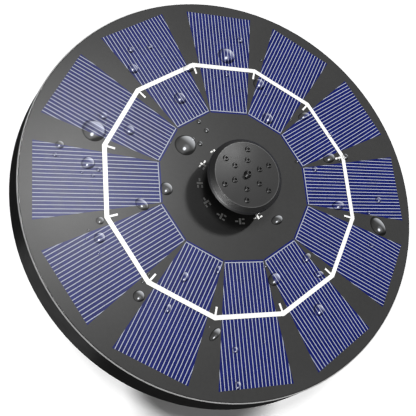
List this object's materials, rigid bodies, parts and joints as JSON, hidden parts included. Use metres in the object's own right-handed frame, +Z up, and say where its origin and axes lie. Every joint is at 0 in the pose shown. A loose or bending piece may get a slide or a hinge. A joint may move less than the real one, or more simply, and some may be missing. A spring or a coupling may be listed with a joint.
{
  "type": "floating solar fountain pump",
  "caption": "Round floating solar fountain: flared disc float with a ring of wedge-shaped solar cells, shower nozzle at the centre, submersible pump and strainer below.",
  "frame": {"origin": "centre of the strainer cap's flat foot, on the nozzle's axis", "axes": "+Z up along the nozzle's axis, -Y towards the pump's inlet, the pump's axis runs along Y"},
  "size_m": [0.1598, 0.1598, 0.0572],
  "materials": {
    "face_grey": "satin",
    "cell_blue": "satin",
    "tinned_ribbon": "bright tinned",
    "tinned_pad": "tinned",
    "shell_black": "semi-gloss moulded",
    "pump_black": "fine moulded texture",
    "nozzle_black": "satin moulded",
    "nozzle_grey": "satin moulded",
    "foam_grey": "closed-cell foam",
    "sponge_black": "open-cell foam",
    "seal_rubber": "soft rubber",
    "seal_red": "silicone",
    "screw_steel": "stainless",
    "core_steel": "laminated",
    "coil_copper": "enamelled copper wire",
    "board_green": "solder mask",
    "chip_black": "moulded package",
    "potting_resin": "cast resin",
    "shaft_ceramic": "ground",
    "magnet_ferrite": "sintered",
    "impeller_white": "moulded",
    "lead_red": "wire insulation",
    "lead_black": "wire insulation"
  },
  "bodies": {
    "float": {"face_resin": "face_grey", "panel_board": "board_green", "solar_cells": "cell_blue", "tab_ribbon": "tinned_ribbon", "interconnect_tabs": "tinned_ribbon", "diode_pads": "tinned_pad", "float_shell": "shell_black", "float_base": "shell_black", "foam_ring": "foam_grey", "float_seal": "seal_rubber", "float_screws": "screw_steel", "pump_screws": "screw_steel", "pump_housing": "pump_black", "outlet_seal": "seal_rubber", "stator_core": "core_steel", "stator_coils": "coil_copper", "driver_board": "board_green", "driver_chip": "chip_black", "potting_plug": "potting_resin", "rotor_shaft": "shaft_ceramic", "rear_shaft_cup": "seal_rubber", "front_shaft_cup": "seal_rubber", "rear_thrust_washer": "shaft_ceramic", "front_thrust_washer": "shaft_ceramic", "volute_cover": "pump_black", "cover_seal": "seal_red", "lead_positive": "lead_red", "lead_negative": "lead_black", "wire_grommet": "seal_rubber"},
    "rotor": {"impeller": "impeller_white", "rotor_magnet": "magnet_ferrite"},
    "strainer": {"strainer_cap": "pump_black", "filter_sponge": "sponge_black"},
    "stem": {"nozzle_stem": "nozzle_black", "stem_seal": "seal_red", "head_washer": "seal_rubber"},
    "spray_head": {"head_base": "nozzle_black", "spray_cap": "nozzle_grey"}
  },
  "joints": [
    {"name": "rotor_spin", "type": "hinge", "parent": "float", "child": "rotor", "pos_m": [-0.0065, 0, 0.0155], "axis": [0, 1, 0], "continuous": true},
    {"name": "strainer_pull", "type": "slide", "parent": "float", "child": "strainer", "axis": [0, 0, -1], "range_m": [0, 0.04]},
    {"name": "nozzle_pull", "type": "slide", "parent": "float", "child": "stem", "axis": [0, 0, 1], "range_m": [0, 0.02]},
    {"name": "head_turn", "type": "hinge", "parent": "stem", "child": "spray_head", "pos_m": [0, 0, 0.05], "axis": [0, 0, 1], "continuous": true}
  ]
}
